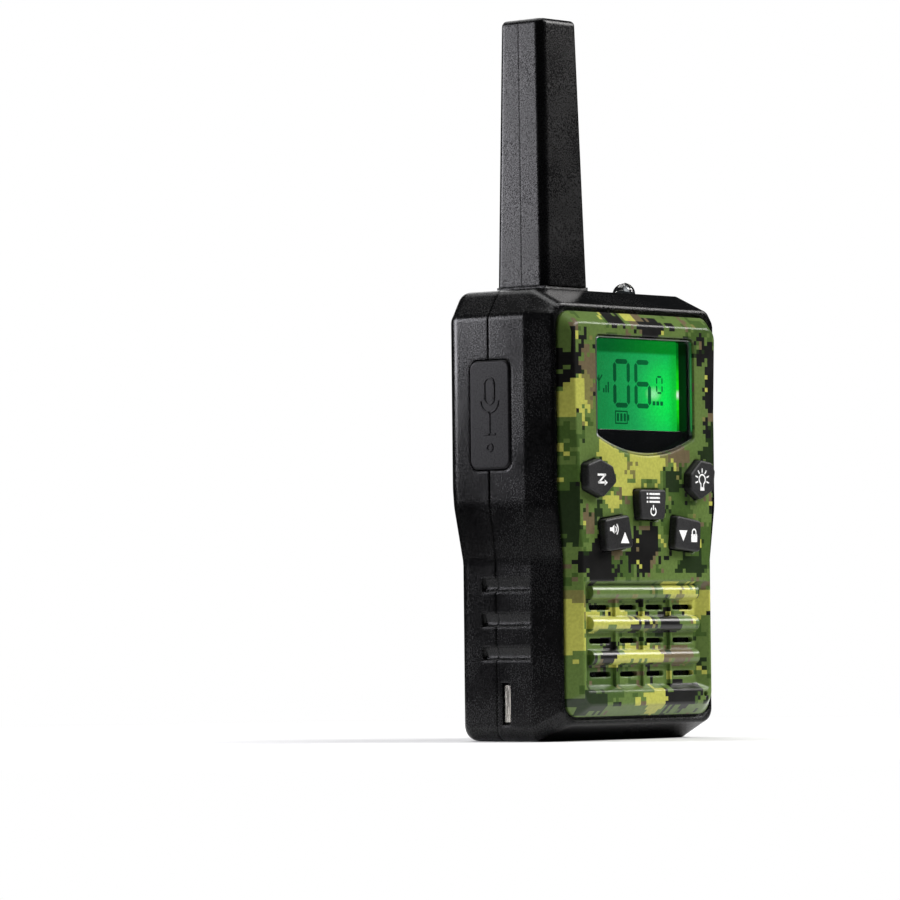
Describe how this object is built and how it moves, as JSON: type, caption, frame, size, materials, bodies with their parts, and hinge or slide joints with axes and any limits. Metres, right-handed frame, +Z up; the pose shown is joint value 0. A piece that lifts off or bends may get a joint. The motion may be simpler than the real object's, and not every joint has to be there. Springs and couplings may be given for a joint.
{
  "type": "toy walkie talkie",
  "caption": "Handheld toy two-way radio: black case, camouflage front panel, back-lit display, pressable keys, side talk button, fixed antenna, torch and sprung belt clip.",
  "frame": {"origin": "centre of the case's flat foot, in the plane it stands on", "axes": "+X to the right of someone facing the front, +Y towards the back, +Z up along the antenna"},
  "size_m": [0.0563, 0.0435, 0.1557],
  "materials": {
    "case_black": "satin, fine spark-eroded grain",
    "camo": "glossy printed camouflage",
    "clear": "clear polished",
    "bezel_black": "gloss black",
    "lcd": "back-lit display",
    "guide": "clear acrylic lit green",
    "green_light": "small green LED",
    "key_black": "matt charcoal with white legends",
    "ptt_black": "matt, soft touch",
    "mat_grey": "silicone mat",
    "board_green": "solder mask",
    "chip_black": "moulded package",
    "steel": "plain steel",
    "nickel": "nickel plate",
    "copper": "enamelled copper wire",
    "magnet": "ferrite",
    "paper": "paper cone and cloth",
    "core_white": "natural plastic core",
    "led_clear": "water-clear epoxy",
    "cell_can": "printed sleeve",
    "wire_red": "insulated wire"
  },
  "bodies": {
    "case": {"front_shell": "case_black", "rear_shell": "case_black", "antenna_front": "case_black", "antenna_rear": "case_black", "front_panel": "camo", "display_window": "clear", "display_bezel": "bezel_black", "lcd_glass": "lcd", "lcd_connector": "mat_grey", "light_guide": "guide", "backlight_leds": "green_light", "lcd_holder": "core_white", "key_switches": "chip_black", "key_mat": "mat_grey", "main_board": "board_green", "rf_shield": "nickel", "radio_chips": "chip_black", "crystal": "steel", "ptt_switch": "chip_black", "speaker_cloth": "paper", "speaker_basket": "steel", "speaker_cone": "paper", "speaker_magnet": "magnet", "microphone_boot": "mat_grey", "microphone": "steel", "torch_led": "led_clear", "torch_leads": "nickel", "antenna_core": "core_white", "antenna_coil": "copper", "battery_springs": "nickel", "battery_plates": "nickel", "clip_pin": "steel", "clip_spring": "steel", "charge_contacts": "nickel", "speaker_wires": "wire_red", "battery_wires": "wire_red", "case_screws": "steel", "board_screws": "steel", "battery_cell_1": "cell_can", "battery_cell_2": "cell_can", "battery_cell_3": "cell_can", "battery_cell_4": "cell_can"},
    "call_key": {"call_key": "key_black"},
    "light_key": {"light_key": "key_black"},
    "menu_key": {"menu_key": "key_black"},
    "up_key": {"up_key": "key_black"},
    "down_key": {"down_key": "key_black"},
    "ptt_button": {"ptt_button": "ptt_black"},
    "battery_door": {"battery_door": "case_black"},
    "belt_clip": {"belt_clip": "case_black"}
  },
  "joints": [
    {"name": "call_key_press", "type": "slide", "parent": "case", "child": "call_key", "axis": [0, 1, 0], "range_m": [0, 0.0006], "stiffness_N_per_m": 1500, "springref_m": -0.0003},
    {"name": "light_key_press", "type": "slide", "parent": "case", "child": "light_key", "axis": [0, 1, 0], "range_m": [0, 0.0006], "stiffness_N_per_m": 1500, "springref_m": -0.0003},
    {"name": "menu_key_press", "type": "slide", "parent": "case", "child": "menu_key", "axis": [0, 1, 0], "range_m": [0, 0.0006], "stiffness_N_per_m": 1500, "springref_m": -0.0003},
    {"name": "up_key_press", "type": "slide", "parent": "case", "child": "up_key", "axis": [0, 1, 0], "range_m": [0, 0.0006], "stiffness_N_per_m": 1500, "springref_m": -0.0003},
    {"name": "down_key_press", "type": "slide", "parent": "case", "child": "down_key", "axis": [0, 1, 0], "range_m": [0, 0.0006], "stiffness_N_per_m": 1500, "springref_m": -0.0003},
    {"name": "ptt_press", "type": "slide", "parent": "case", "child": "ptt_button", "axis": [1, 0, 0], "range_m": [0, 0.0007], "stiffness_N_per_m": 2000, "springref_m": -0.0004},
    {"name": "battery_door_slide", "type": "slide", "parent": "case", "child": "battery_door", "axis": [0, 0, -1], "range_m": [0, 0.04]},
    {"name": "belt_clip_hinge", "type": "hinge", "parent": "case", "child": "belt_clip", "pos_m": [0, 0.0216, 0.084], "axis": [1, 0, 0], "range_deg": [0, 22], "stiffness_Nm_per_rad": 0.08, "springref_deg": -14.32}
  ]
}
